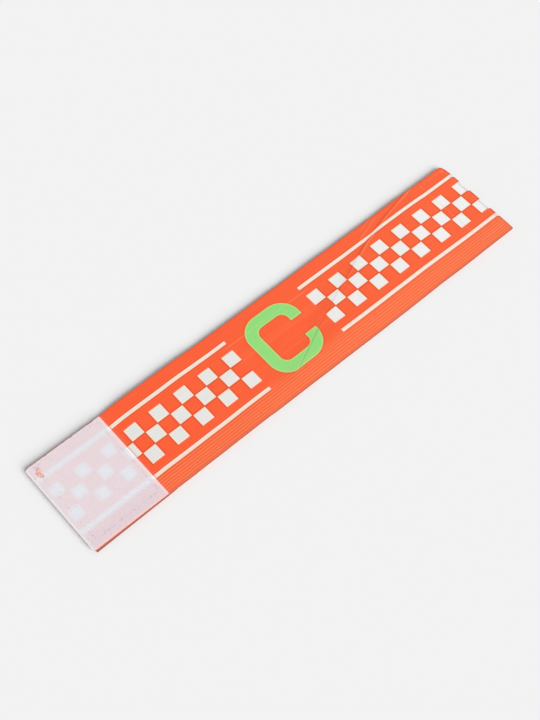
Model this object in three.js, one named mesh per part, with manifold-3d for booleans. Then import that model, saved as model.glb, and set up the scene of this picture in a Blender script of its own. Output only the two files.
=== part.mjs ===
// Captain's armband of ribbed elastic webbing, opened out and lying with its printed face up.
// Millimetres. +X runs from the hook end to the loop end, +Y from the front edge to the back edge, +Z up.
// The origin is under the middle of the armband, on the surface that it lies on.

import * as THREE from "three";
import { mergeVertices } from "three/addons/utils/BufferGeometryUtils.js";
import Module from "manifold-3d";

const wasm = await Module();
wasm.setup();

// Elastic webbing. Its thickness is measured over the crests of the ribs.
const BAND_LENGTH = 362.5;
const BAND_WIDTH = 70;
const WEB_THICKNESS = 1.4;
const RIB_PITCH = 1.84;
const GROOVE_WIDTH = 0.6;
const GROOVE_DEPTH = 0.35;
const WIDEST_GROOVE = 0.8; // as a share of the pitch, so that a crest is always left
const END_ROUNDING = 2.4; // how far the corners of the loop end fall back
const END_SHARPNESS = 12; // a higher power keeps the rounding closer to the corners

// Hook tape, sewn on top at the hook end. It overhangs the cut end of the webbing.
const HOOK_LENGTH = 56.8;
const HOOK_OVERHANG = 1.5;
const HOOK_SIDE_MARGIN = 0.5;
const HOOK_BASE = 0.5;
const HOOK_PILE = 0.8;
const HOOK_CORNER = 1.8;
const HOOK_BARE_EDGE = 0.7;

// Loop tape, sewn underneath at the loop end.
const LOOP_LENGTH = 25;
const LOOP_END_MARGIN = 1;
const LOOP_SIDE_MARGIN = 2;
const LOOP_BASE = 0.4;
const LOOP_PILE = 1.1;
const LOOP_CORNER = 2.5;
const LOOP_BARE_EDGE = 1;

const SHARPEST_CORNER = 0.2; // the smallest radius that a corner of either tape is cut to
const CORNER_STEPS = 5;

// How the armband lies.
const SEAT_GAP = 0.1; // between the webbing and each tape
const SEAT_MARGIN = 1.5; // the webbing stays flat this far past each tape
const HOOK_LIFT = 1.3; // the hook end stands this high
const SELVEDGE_WIDTH = 2; // the strip of the front edge that rolls down under the hook tape
const HOOK_END_ROLL = 1; // how far down it rolls, as a share of its height: at the cut end,
const HOOK_SEAT_ROLL = 0.3; // and where the hook tape ends
const SWELL_HEIGHT = 3.4; // the highest stand of the webbing off the surface
const CREASE_SPREAD = 4.4; // length of webbing, along X, from the foot of the crease to its ridge

// The crease runs slantwise over the band. across is a share of the width, along a share of the free
// length between the two tapes, and spread widens the rise from foot to ridge.
const CREASE = [
  { across: 0, along: 0.314, spread: 1.3 },
  { across: 0.2, along: 0.424, spread: 1.1 },
  { across: 0.4, along: 0.533, spread: 0.9 },
  { across: 0.6, along: 0.655, spread: 0.9 },
  { across: 0.8, along: 0.778, spread: 1.3 },
  { across: 0.9, along: 0.858, spread: 1.6 },
  { across: 1, along: 0.97, spread: 2 },
];

// Heights of the webbing's underside, as shares of SWELL_HEIGHT, on lines from the front edge to the
// back edge. along is a share of the way from the hook tape to the foot of the crease, or from the ridge
// of the crease to the loop tape. The zeros in the middle are where the webbing lies flat on the surface.
const BEFORE_CREASE = [
  { along: 0.07, front: 0.5, near: 0.53, middle: 0.59, far: 0.59, back: 0.53 },
  { along: 0.2, front: 0.44, near: 0.47, middle: 0.5, far: 0.65, back: 0.53 },
  { along: 0.45, front: 0.44, near: 0.56, middle: 0.74, far: 0.68, back: 0.15 },
  { along: 0.68, front: 0.59, near: 0.65, middle: 0.65, far: 0.6, back: 0.12 },
  { along: 0.88, front: 0.5, near: 0.55, middle: 0, far: 0, back: 0.12 },
  { along: 0.97, front: 0.38, near: 0.45, middle: 0, far: 0, back: 0.12 },
  { along: 1, front: 0.06, near: 0.24, middle: 0, far: 0, back: 0.06 },
];
const AFTER_CREASE = [
  { along: 0, front: 0.1, near: 0.85, middle: 0.91, far: 0.85, back: 0.3 },
  { along: 0.25, front: 0.06, near: 0.97, middle: 0.91, far: 0.94, back: 0.32 },
  { along: 0.5, front: 0, near: 0.88, middle: 1, far: 0.88, back: 0.35 },
  { along: 0.75, front: 0.18, near: 0.82, middle: 0.94, far: 0.85, back: 0.4 },
  { along: 0.9, front: 0.29, near: 0.68, middle: 0.76, far: 0.68, back: 0.44 },
];
const COLUMNS = ["front", "near", "middle", "far", "back"];
const UNDERSIDE_LINES = [0.08, 0.16, 0.25, 0.37, 0.5, 0.62, 0.75, 0.84, 0.92]; // shares across the band
const SLOW_STEPS = 3; // sections from one line of the tables to the next
const CREASE_STEPS = 2; // sections up the rise of the crease

// Places that follow from the sizes above.
const LEFT = -(BAND_LENGTH + HOOK_OVERHANG) / 2;
const RIGHT = -LEFT;
const WEB_LEFT = LEFT + HOOK_OVERHANG;
const HOOK_WIDTH = BAND_WIDTH - 2 * HOOK_SIDE_MARGIN;
const LOOP_WIDTH = BAND_WIDTH - 2 * LOOP_SIDE_MARGIN;
const LOOP_CENTRE = RIGHT - LOOP_END_MARGIN - LOOP_LENGTH / 2;
const HOOK_SEAT_END = LEFT + HOOK_LENGTH + SEAT_MARGIN;
const LOOP_SEAT_START = LOOP_CENTRE - LOOP_LENGTH / 2 - SEAT_MARGIN;
const LOOP_LIFT = LOOP_BASE + LOOP_PILE + SEAT_GAP;

const { lerp, smoothstep } = THREE.MathUtils;

// The value of one column of a table, at a share across the band.
function columnAt(rows, key, across) {
  const next = Math.max(1, rows.findIndex((row) => row.across >= across));
  const [a, b] = [rows[next - 1], rows[next]];
  return lerp(a[key], b[key], (across - a.across) / (b.across - a.across));
}

function creaseX(across, side) {
  const middle = lerp(HOOK_SEAT_END, LOOP_SEAT_START, columnAt(CREASE, "along", across));
  return middle + (side * CREASE_SPREAD * columnAt(CREASE, "spread", across)) / 2;
}

const footX = (across) => creaseX(across, -1);
const ridgeX = (across) => creaseX(across, 1);

// The height of a line of the tables, at a share across the band.
function heightOf(row, across) {
  const place = across * (COLUMNS.length - 1);
  const column = Math.min(Math.floor(place), COLUMNS.length - 2);
  const blend = smoothstep(place - column, 0, 1);
  return SWELL_HEIGHT * lerp(row[COLUMNS[column]], row[COLUMNS[column + 1]], blend);
}

// The lines that the webbing is lofted through. steps counts the sections from a line to the next.
function keyLines() {
  const endInset = (across) => END_ROUNDING * Math.abs(2 * across - 1) ** END_SHARPNESS;
  const before = BEFORE_CREASE.map((row) => ({
    x: (across) => lerp(HOOK_SEAT_END, footX(across), row.along),
    height: (across) => heightOf(row, across),
    roll: 0,
    steps: SLOW_STEPS,
  }));
  const after = AFTER_CREASE.map((row) => ({
    x: (across) => lerp(ridgeX(across), LOOP_SEAT_START, row.along),
    height: (across) => heightOf(row, across),
    roll: 0,
    steps: SLOW_STEPS,
  }));
  before.at(-1).steps = CREASE_STEPS;
  return [
    { x: () => WEB_LEFT, height: () => HOOK_LIFT, roll: HOOK_END_ROLL, steps: 1 },
    { x: () => HOOK_SEAT_END, height: () => HOOK_LIFT, roll: HOOK_SEAT_ROLL, steps: SLOW_STEPS },
    ...before,
    ...after,
    { x: () => LOOP_SEAT_START, height: () => LOOP_LIFT, roll: 0, steps: 1 },
    { x: (across) => RIGHT - endInset(across), height: () => LOOP_LIFT, roll: 0, steps: 1 },
  ];
}

// Every section of the webbing: the lines above, and the steps between them.
function sections() {
  const lines = keyLines();
  const made = [];
  lines.slice(0, -1).forEach((a, i) => {
    const b = lines[i + 1];
    for (let step = 0; step < a.steps; step++) {
      const share = step / a.steps;
      const eased = smoothstep(share, 0, 1);
      made.push({
        x: (across) => lerp(a.x(across), b.x(across), share),
        height: (across) => lerp(a.height(across), b.height(across), eased),
        roll: lerp(a.roll, b.roll, share),
      });
    }
  });
  return [...made, lines.at(-1)];
}

// Shares across the band for the top face: two crest points and a groove for each rib.
function topShares() {
  const ribs = Math.max(2, Math.round(BAND_WIDTH / RIB_PITCH));
  const half = Math.min(GROOVE_WIDTH / BAND_WIDTH, WIDEST_GROOVE / ribs) / 2;
  const shares = [{ across: 0, groove: true }];
  for (let rib = 0; rib < ribs; rib++) {
    shares.push({ across: rib / ribs + half, groove: false });
    shares.push({ across: (rib + 1) / ribs - half, groove: false });
    shares.push({ across: (rib + 1) / ribs, groove: true });
  }
  return shares;
}

// Shares across the band for the smooth underside.
function undersideShares() {
  const selvedge = SELVEDGE_WIDTH / BAND_WIDTH;
  const inner = UNDERSIDE_LINES.filter((share) => share > selvedge && share < 1 - selvedge);
  return [0, selvedge, ...inner, 1 - selvedge, 1];
}

function webbingGeometry() {
  const top = topShares();
  const under = undersideShares();
  const points = [];
  const faces = [];
  const atWidth = (across) => (across - 0.5) * BAND_WIDTH;
  const made = sections();
  for (const section of made) {
    for (const { across, groove } of top) {
      const crest = section.height(across) + WEB_THICKNESS;
      points.push(section.x(across), atWidth(across), groove ? crest - GROOVE_DEPTH : crest);
    }
    for (const across of under) {
      const height = section.height(across);
      points.push(section.x(across), atWidth(across), across === 0 ? height * (1 - section.roll) : height);
    }
  }
  const count = top.length + under.length;
  const topAt = (i, j) => i * count + j;
  const underAt = (i, j) => i * count + top.length + j;
  const quad = (a, b, c, d) => faces.push(a, b, c, a, c, d);
  for (let i = 0; i < made.length - 1; i++) {
    for (let j = 0; j < top.length - 1; j++)
      quad(topAt(i, j), topAt(i + 1, j), topAt(i + 1, j + 1), topAt(i, j + 1));
    for (let j = 0; j < under.length - 1; j++)
      quad(underAt(i, j), underAt(i, j + 1), underAt(i + 1, j + 1), underAt(i + 1, j));
    quad(underAt(i, 0), underAt(i + 1, 0), topAt(i + 1, 0), topAt(i, 0));
    const [topLast, underLast] = [top.length - 1, under.length - 1];
    quad(underAt(i + 1, underLast), underAt(i, underLast), topAt(i, topLast), topAt(i + 1, topLast));
  }
  for (const [i, outward] of [[0, false], [made.length - 1, true]])
    closeEnd(faces, top, under, (j) => topAt(i, j), (j) => underAt(i, j), outward);
  const geometry = new THREE.BufferGeometry();
  geometry.setAttribute("position", new THREE.Float32BufferAttribute(points, 3));
  geometry.setIndex(faces);
  geometry.computeVertexNormals();
  return geometry;
}

// Fills the cut end of the webbing between its top line and its underside line.
function closeEnd(faces, top, under, topAt, underAt, outward) {
  const add = (a, b, c) => (outward ? faces.push(a, b, c) : faces.push(a, c, b));
  let [t, u] = [0, 0];
  while (t < top.length - 1 || u < under.length - 1) {
    const topNext = t < top.length - 1 ? top[t + 1].across : Infinity;
    const underNext = u < under.length - 1 ? under[u + 1] : Infinity;
    if (topNext <= underNext) {
      add(topAt(t), underAt(u), topAt(t + 1));
      t++;
    } else {
      add(topAt(t), underAt(u), underAt(u + 1));
      u++;
    }
  }
}

function solidOf(geometry) {
  const bare = geometry.clone().deleteAttribute("normal").deleteAttribute("uv");
  const merged = mergeVertices(bare);
  return new wasm.Manifold(
    new wasm.Mesh({
      numProp: 3,
      vertProperties: merged.attributes.position.array,
      triVerts: new Uint32Array(merged.index.array),
    }),
  );
}

function geometryOf(solid) {
  const mesh = solid.getMesh();
  const geometry = new THREE.BufferGeometry();
  geometry.setAttribute("position", new THREE.BufferAttribute(mesh.vertProperties, 3));
  geometry.setIndex(new THREE.BufferAttribute(mesh.triVerts, 1));
  return geometry;
}

// A flat plate with rounded corners, centred on the origin in plan, from z = low to z = high.
function plateGeometry(length, width, corner, low, high) {
  const radius = Math.max(corner, SHARPEST_CORNER);
  const [x, y] = [length / 2 - radius, width / 2 - radius];
  const outline = new THREE.Shape();
  outline.absarc(x, y, radius, 0, Math.PI / 2);
  outline.absarc(-x, y, radius, Math.PI / 2, Math.PI);
  outline.absarc(-x, -y, radius, Math.PI, 1.5 * Math.PI);
  outline.absarc(x, -y, radius, 1.5 * Math.PI, 2 * Math.PI);
  const plate = new THREE.ExtrudeGeometry(outline, {
    depth: high - low,
    bevelEnabled: false,
    curveSegments: CORNER_STEPS,
  });
  return plate.translate(0, 0, low);
}

// Fastening tape: a woven base on z = 0 with a bare edge round its pile. side is 1 with the pile up, -1 down.
function tapeGeometry({ length, width, corner, base, pile, bareEdge, side }) {
  const [baseLow, baseHigh] = side > 0 ? [0, base] : [-base, 0];
  const rooted = (side * base) / 2;
  const pileTop = side * (base + pile);
  const backing = plateGeometry(length, width, corner, baseLow, baseHigh);
  const field = plateGeometry(
    length - 2 * bareEdge,
    width - 2 * bareEdge,
    corner - bareEdge,
    Math.min(rooted, pileTop),
    Math.max(rooted, pileTop),
  );
  return geometryOf(solidOf(backing).add(solidOf(field)));
}

function piece(name, geometry, colour, roughness) {
  const material = new THREE.MeshStandardMaterial({ color: colour, roughness, metalness: 0 });
  const mesh = new THREE.Mesh(geometry, material);
  mesh.name = name;
  return mesh;
}

const armband = new THREE.Group();
armband.name = "captain_armband";

armband.add(piece("elastic_band", webbingGeometry(), 0xfb6840, 0.85));

const hookPanel = piece(
  "hook_panel",
  tapeGeometry({
    length: HOOK_LENGTH,
    width: HOOK_WIDTH,
    corner: HOOK_CORNER,
    base: HOOK_BASE,
    pile: HOOK_PILE,
    bareEdge: HOOK_BARE_EDGE,
    side: 1,
  }),
  0xe7dde2,
  0.6,
);
hookPanel.position.set(LEFT + HOOK_LENGTH / 2, 0, HOOK_LIFT + WEB_THICKNESS + SEAT_GAP);
armband.add(hookPanel);

const loopPanel = piece(
  "loop_panel",
  tapeGeometry({
    length: LOOP_LENGTH,
    width: LOOP_WIDTH,
    corner: LOOP_CORNER,
    base: LOOP_BASE,
    pile: LOOP_PILE,
    bareEdge: LOOP_BARE_EDGE,
    side: -1,
  }),
  0xeeeeea,
  0.95,
);
loopPanel.position.set(LOOP_CENTRE, 0, LOOP_LIFT - SEAT_GAP);
armband.add(loopPanel);

export default armband;
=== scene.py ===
import math

import bpy
import numpy as np
from mathutils import Matrix, Vector


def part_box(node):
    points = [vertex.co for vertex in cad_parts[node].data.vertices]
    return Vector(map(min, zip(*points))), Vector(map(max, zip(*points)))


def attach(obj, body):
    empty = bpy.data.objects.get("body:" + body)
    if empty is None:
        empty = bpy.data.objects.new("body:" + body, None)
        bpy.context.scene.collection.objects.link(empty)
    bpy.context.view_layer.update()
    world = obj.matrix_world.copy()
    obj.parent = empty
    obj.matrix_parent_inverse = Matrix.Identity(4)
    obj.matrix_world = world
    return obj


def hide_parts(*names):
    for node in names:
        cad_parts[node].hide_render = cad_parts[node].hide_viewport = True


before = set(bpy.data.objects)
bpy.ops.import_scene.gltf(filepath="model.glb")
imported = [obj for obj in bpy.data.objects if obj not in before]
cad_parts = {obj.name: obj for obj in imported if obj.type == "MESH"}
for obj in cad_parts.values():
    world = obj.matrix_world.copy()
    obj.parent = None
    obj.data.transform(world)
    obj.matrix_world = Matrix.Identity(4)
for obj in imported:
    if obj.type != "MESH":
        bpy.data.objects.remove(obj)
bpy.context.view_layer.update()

# The stand for the picture: a pale table, an even room light, and soft lamps at the front right. The low
# one lights the table alone, where it throws the shadow behind the back edge and the hook end. The high one
# lights the armband. The camera looks down at 60 degrees.
MM = 0.001
TABLE_SIZE = 4.0
TABLE_GREY = 0.9
ROOM_LIGHT = 0.4
TABLE_LAMP = {"strength": 3.28, "spread": 43, "travel": (-0.05, 0.82, -0.56), "table": "INCLUDE"}
CLOTH_LAMP = {"strength": 2.35, "spread": 70, "travel": (-0.15, 0.35, -0.92), "table": "EXCLUDE"}
CAMERA_PLACE = Vector((-302.35, -293.14, 713.3)) * MM
CAMERA_FORWARD = Vector((0.34959, 0.35243, -0.86809))
CAMERA_RIGHT = Vector((0.74749, -0.66352, 0.03165))
CAMERA_LENS = 63.3


def calc(tree, operation, *values, clamp=False):
    """A Math node fed with numbers or sockets. Gives its result's socket."""
    node = tree.nodes.new("ShaderNodeMath")
    node.operation = operation
    node.use_clamp = clamp
    for socket, value in zip(node.inputs, values):
        feed(tree, socket, value)
    return node.outputs[0]


def feed(tree, socket, value):
    """Links a socket to another one, or gives it a constant."""
    if isinstance(value, bpy.types.NodeSocket):
        tree.links.new(value, socket)
    else:
        socket.default_value = value


def srgb(red, green, blue):
    """A colour as a screen shows it, 0 to 255, turned into the linear colour that a shader takes."""
    channels = [c / 255 for c in (red, green, blue)]
    linear = [c / 12.92 if c <= 0.04045 else ((c + 0.055) / 1.055) ** 2.4 for c in channels]
    return (*linear, 1.0)


def new_material(name, roughness, specular=0.2):
    """A Principled material. Gives the material, its tree and its shader."""
    material = bpy.data.materials.new(name)
    material.use_nodes = True
    tree = material.node_tree
    shader = tree.nodes["Principled BSDF"]
    shader.inputs["Roughness"].default_value = roughness
    shader.inputs["Specular IOR Level"].default_value = specular
    return material, tree, shader


bpy.ops.object.select_all(action="DESELECT")
bpy.ops.mesh.primitive_plane_add(size=TABLE_SIZE, location=(0, 0, 0))
table = bpy.context.object
table.name = "table"
table_material, table_tree, table_shader = new_material("pale_table", 0.9, 0.0)
table_shader.inputs["Base Color"].default_value = (TABLE_GREY, TABLE_GREY, TABLE_GREY, 1)
table.data.materials.append(table_material)

for lamp_name, facts in (("table_lamp", TABLE_LAMP), ("cloth_lamp", CLOTH_LAMP)):
    aim = Vector(facts["travel"]).to_track_quat("-Z", "Y").to_euler()
    bpy.ops.object.light_add(type="SUN", rotation=aim)
    lamp = bpy.context.object
    lamp.name = lamp_name
    lamp.data.energy = facts["strength"]
    lamp.data.angle = math.radians(facts["spread"])
    lit = bpy.data.collections.new(lamp_name)
    lit.objects.link(table)
    lamp.light_linking.receiver_collection = lit
    lit.collection_objects[0].light_linking.link_state = facts["table"]

room = bpy.data.worlds.new("room")
room.use_nodes = True
room.node_tree.nodes["Background"].inputs["Color"].default_value = (1, 1, 1, 1)
room.node_tree.nodes["Background"].inputs["Strength"].default_value = ROOM_LIGHT
bpy.context.scene.world = room
bpy.context.scene.view_settings.view_transform = "Standard"

camera_back = -CAMERA_FORWARD.normalized()
camera_right = CAMERA_RIGHT.normalized()
camera_up = camera_back.cross(camera_right)
camera_turn = Matrix((camera_right, camera_up, camera_back)).transposed().to_4x4()
camera_data = bpy.data.cameras.new("camera")
camera_data.lens = CAMERA_LENS
camera_data.sensor_width = 36
camera = bpy.data.objects.new("camera", camera_data)
camera.matrix_world = Matrix.Translation(CAMERA_PLACE) @ camera_turn
bpy.context.collection.objects.link(camera)
bpy.context.scene.camera = camera

# The elastic webbing: a knitted strip, 70 mm wide, with lengthwise ribs over its rubber cords. It was kept
# folded, so one crease runs slantwise over it and it lies in low swells, rolled down at its front selvedge
# under the hook tape. Its heights follow the frame's solid, with a sharper crease and a higher back edge.
WEB_LOW, WEB_HIGH = (np.array(corner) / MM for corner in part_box("elastic_band"))
HOOK_LOW, HOOK_HIGH = (np.array(corner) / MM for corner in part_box("hook_panel"))
LOOP_LOW, LOOP_HIGH = (np.array(corner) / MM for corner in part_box("loop_panel"))
WEB_WIDTH = WEB_HIGH[1] - WEB_LOW[1]
WEB_THICKNESS = 1.4
SEAT_GAP = 0.1
SEAT_MARGIN = 1.5
HOOK_LIFT = HOOK_LOW[2] - SEAT_GAP - WEB_THICKNESS
LOOP_LIFT = LOOP_HIGH[2] + SEAT_GAP
FREE_START = HOOK_HIGH[0] + SEAT_MARGIN
FREE_END = LOOP_LOW[0] - SEAT_MARGIN
SWELL_HEIGHT = 3.4
CREASE_SPREAD = 6.0
TUCK = 0.8
END_ROUNDING = {"front": 0.4, "back": 2.3}
END_SHARPNESS = 14
END_FRAY = 1.3
FRAY_SIDE = 0.4
RIBS = 38
RIB_POINTS = 6
GROOVE_DEPTH = 0.07
FRONT_GROOVE_DEPTH = 0.38
GROOVE_SHARPNESS = 5
FRONT_RIBS = (0.16, 0.2)
UNDER_POINTS = 3
UNDER_GROOVE = 0.2
SECTION_STEP = 1.7
CREASE_SECTIONS = 9
SELVEDGE = 2.0
SELVEDGE_DROP = 0.12
BACK_BOW = [(-126, 0), (-116, 0.6), (-70, 0.6), (-45, 0.15), (150, 0.1), (160, 0)]
FRONT_BOW = [
    *[(-181, -0.4), (-124, -0.1), (-64, -0.1), (-35, -0.05), (-5, 0.05)],
    *[(38, -0.1), (112, -0.05), (146, -0.45), (182, -0.4)],
]
SMALL_WAVES = [
    {"height": 0.1, "length": 11, "slant": 0.06, "start": 0},
    {"height": 0.08, "length": 6.3, "slant": -0.05, "start": 1.2},
    {"height": 0.05, "length": 3.7, "slant": 1 / 9, "start": 0},
]
WAVES_FADE = 18
WHITE_AT_END = [(11.3, 1.3), (23.3, 5), (43.3, 5), (55.3, 1.3)]
CREASE_ACROSS = np.array([0, 0.2, 0.4, 0.6, 0.8, 0.9, 1])
CREASE_ALONG = np.array([0.314, 0.424, 0.533, 0.655, 0.778, 0.858, 0.97])
CREASE_WIDEN = np.array([0.9, 0.6, 0.5, 0.6, 0.9, 1, 1.2])
COLUMNS = np.array([0, 0.25, 0.5, 0.75, 1])
BEFORE_CREASE = [
    {"along": 0.07, "heights": (0.5, 0.53, 0.59, 0.59, 0.56)},
    {"along": 0.2, "heights": (0.44, 0.47, 0.5, 0.65, 0.52)},
    {"along": 0.45, "heights": (0.44, 0.56, 0.74, 0.68, 0.46)},
    {"along": 0.68, "heights": (0.59, 0.65, 0.65, 0.6, 0.44)},
    {"along": 0.88, "heights": (0.54, 0.58, 0.5, 0.45, 0.43)},
    {"along": 0.97, "heights": (0.46, 0.66, 0.65, 0.55, 0.43)},
    {"along": 1, "heights": (0.34, 0.72, 0.72, 0.62, 0.42)},
]
AFTER_CREASE = [
    {"along": 0, "heights": (0.28, 0.8, 0.84, 0.78, 0.48)},
    {"along": 0.25, "heights": (0.15, 0.9, 0.88, 0.87, 0.48)},
    {"along": 0.5, "heights": (0.02, 0.86, 0.95, 0.86, 0.46)},
    {"along": 0.75, "heights": (0.2, 0.82, 0.92, 0.84, 0.46)},
    {"along": 0.9, "heights": (0.29, 0.68, 0.76, 0.68, 0.46)},
]


def smooth_between(places, values, at):
    """Smooth curves through the values, which never swing past them, read at the points in at."""
    places, values, at = np.asarray(places), np.asarray(values), np.asarray(at)
    step = np.diff(places)[:, None]
    slope = np.diff(values, axis=0) / step
    before, after = slope[:-1], slope[1:]
    weight_a, weight_b = 2 * step[1:] + step[:-1], step[1:] + 2 * step[:-1]
    same_way = before * after > 0
    safe = lambda s: np.where(same_way, s, 1)
    inner = np.where(same_way, (weight_a + weight_b) / (weight_a / safe(before) + weight_b / safe(after)), 0)
    tangent = np.concatenate([slope[:1], inner, slope[-1:]])
    k = np.clip(np.searchsorted(places, at, side="right") - 1, 0, len(places) - 2)
    t = ((at - places[k]) / np.diff(places)[k])[:, None]
    start, end, span = values[k], values[k + 1], step[k]
    return (
        (1 + 2 * t) * (1 - t) ** 2 * start
        + t * (1 - t) ** 2 * span * tangent[k]
        + t**2 * (3 - 2 * t) * end
        - t**2 * (1 - t) * span * tangent[k + 1]
    )


def crease_x(across, side):
    """X of the crease's foot, side -1, or of its ridge, side 1."""
    middle = FREE_START + (FREE_END - FREE_START) * np.interp(across, CREASE_ACROSS, CREASE_ALONG)
    return middle + side * CREASE_SPREAD / 2 * np.interp(across, CREASE_ACROSS, CREASE_WIDEN)


def white_at_end(across):
    """Where the print leaves the cut end white, 0 to 1: undyed yarn shrinks back a little there."""
    down = (1 - across) * WEB_WIDTH
    inside = [np.clip((half - np.abs(down - middle)) / FRAY_SIDE, 0, 1) for middle, half in WHITE_AT_END]
    return np.max(inside, axis=0)


def swell(row, across):
    """The webbing's height along one row of the tables, from its front edge to its back edge."""
    heights = np.array(row["heights"])[:, None]
    return SWELL_HEIGHT * smooth_between(COLUMNS, heights, across)[:, 0]


def web_lines(across):
    """The lines that the webbing is drawn through: their X, their height, and how far the selvedge rolls."""
    foot, ridge = crease_x(across, -1), crease_x(across, 1)
    flat = np.ones_like(across)
    rounding = np.where(across < 0.5, END_ROUNDING["front"], END_ROUNDING["back"])
    frayed_end = WEB_HIGH[0] - END_FRAY * white_at_end(across)
    rounded_end = frayed_end - rounding * np.abs(2 * across - 1) ** END_SHARPNESS
    lines = [(WEB_LOW[0] * flat, HOOK_LIFT * flat, 1.0), (FREE_START * flat, HOOK_LIFT * flat, 0.3)]
    lines += [(FREE_START + (foot - FREE_START) * row["along"], swell(row, across), 0) for row in BEFORE_CREASE]
    lines += [(ridge + (FREE_END - ridge) * row["along"], swell(row, across), 0) for row in AFTER_CREASE]
    lines += [(FREE_END * flat, LOOP_LIFT * flat, 0), (rounded_end, LOOP_LIFT * flat, 0)]
    return lines


def section_shares():
    """Where the sections stand, counted in lines: 2.5 is half way from the third line to the fourth."""
    xs = np.array([line[0] for line in web_lines(np.linspace(0, 1, RIBS + 1))])
    foot = 1 + len(BEFORE_CREASE)
    shares = []
    for k, gap in enumerate(np.diff(xs, axis=0).mean(axis=1)):
        count = CREASE_SECTIONS if k == foot else max(1, round(gap / SECTION_STEP))
        shares += [k + i / count for i in range(count)]
    return np.array([*shares, len(xs) - 1])


def web_sections(across):
    """X, underside height and selvedge roll of every section, as tables of section by place across."""
    lines = web_lines(across)
    xs, heights = (np.array([line[k] for line in lines]) for k in (0, 1))
    rolls = np.array([line[2] for line in lines])
    shares = section_shares()
    k = np.minimum(shares.astype(int), len(lines) - 2)
    part = (shares - k)[:, None]
    x = xs[k] + (xs[k + 1] - xs[k]) * part
    places = xs.mean(axis=1)
    height = smooth_between(places, heights, np.interp(shares, np.arange(len(lines)), places))
    return x, height, np.interp(shares, np.arange(len(lines)), rolls)


def small_waves(x, y):
    """Slight unevenness of cloth that has been folded away, in mm. It dies out at both sewn ends."""
    waves = sum(w["height"] * np.sin(x / w["length"] + w["slant"] * y + w["start"]) for w in SMALL_WAVES)
    free = np.clip((x - FREE_START) / WAVES_FADE, 0, 1) * np.clip((FREE_END - x) / WAVES_FADE, 0, 1)
    return waves * free


def web_skin(points_per_rib, groove, front_groove):
    """One face of the webbing as sections by places across: X, Y, underside height and rib relief."""
    across = np.linspace(0, 1, RIBS * points_per_rib + 1)
    groove = np.interp(across, (0, *FRONT_RIBS), (front_groove, front_groove, groove))
    x, height, roll = web_sections(across)
    bow = across**2 * np.interp(x, *zip(*BACK_BOW)) + (1 - across) ** 2 * np.interp(x, *zip(*FRONT_BOW))
    y = WEB_LOW[1] + across * WEB_WIDTH + bow
    relief = -groove * np.abs(np.cos(np.pi * across * RIBS)) ** GROOVE_SHARPNESS
    height = np.maximum(height + small_waves(x, y), 0)
    return x, y, height, relief, roll


top_x, top_y, top_under, top_relief, top_roll = web_skin(RIB_POINTS, GROOVE_DEPTH, FRONT_GROOVE_DEPTH)
front_edge = np.clip(1 - (top_y - WEB_LOW[1]) / SELVEDGE, 0, 1) ** 2
back_edge = np.clip(1 - (WEB_HIGH[1] - top_y) / SELVEDGE, 0, 1) ** 2
top_z = top_under + WEB_THICKNESS + top_relief - SELVEDGE_DROP * (front_edge + back_edge)

low_x, low_y, low_under, low_relief, low_roll = web_skin(UNDER_POINTS, UNDER_GROOVE, UNDER_GROOVE)
rolled = np.clip(1 - (low_y - WEB_LOW[1]) / SELVEDGE, 0, 1)
low_z = (low_under - low_relief) * (1 - low_roll[:, None] * rolled)


def grid_faces(rows, columns, start, up):
    """Quads between the points of a grid, facing up or down."""
    i, j = np.meshgrid(np.arange(rows - 1), np.arange(columns - 1), indexing="ij")
    a = (start + i * columns + j).ravel()
    quads = np.stack([a, a + columns, a + columns + 1, a + 1], axis=1)
    return quads if up else quads[:, ::-1]


def zip_edge(upper, lower, flip):
    """Triangles that close the side wall between a fine upper line of points and a coarse lower one."""
    faces, fine = [], (len(upper) - 1) // (len(lower) - 1)
    for k in range(len(lower) - 1):
        run = upper[k * fine : (k + 1) * fine + 1]
        faces += [(lower[k], run[i], run[i + 1]) for i in range(fine)]
        faces.append((lower[k], run[-1], lower[k + 1]))
    return [face[::-1] for face in faces] if flip else faces


rows, top_columns, low_columns = top_x.shape[0], top_x.shape[1], low_x.shape[1]
web_points = np.concatenate(
    [np.stack([x, y, z], axis=2).reshape(-1, 3) for x, y, z in ((top_x, top_y, top_z), (low_x, low_y, low_z))]
)
low_start = rows * top_columns
top_index = np.arange(low_start).reshape(rows, top_columns)
low_index = low_start + np.arange(rows * low_columns).reshape(rows, low_columns)
web_faces = [*map(tuple, grid_faces(rows, top_columns, 0, True).tolist())]
top_count = len(web_faces)
web_faces += map(tuple, grid_faces(rows, low_columns, low_start, False).tolist())
low_count = len(web_faces) - top_count
web_faces += zip_edge(top_index[:, 0].tolist(), low_index[:, 0].tolist(), True)
web_faces += zip_edge(top_index[:, -1].tolist(), low_index[:, -1].tolist(), False)
web_faces += zip_edge(top_index[0].tolist(), low_index[0].tolist(), False)
web_faces += zip_edge(top_index[-1].tolist(), low_index[-1].tolist(), True)

web_mesh = bpy.data.meshes.new("webbing")
web_mesh.from_pydata(web_points * MM, [], web_faces)
web_mesh.update()
webbing = bpy.data.objects.new("webbing", web_mesh)
bpy.context.collection.objects.link(webbing)

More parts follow.
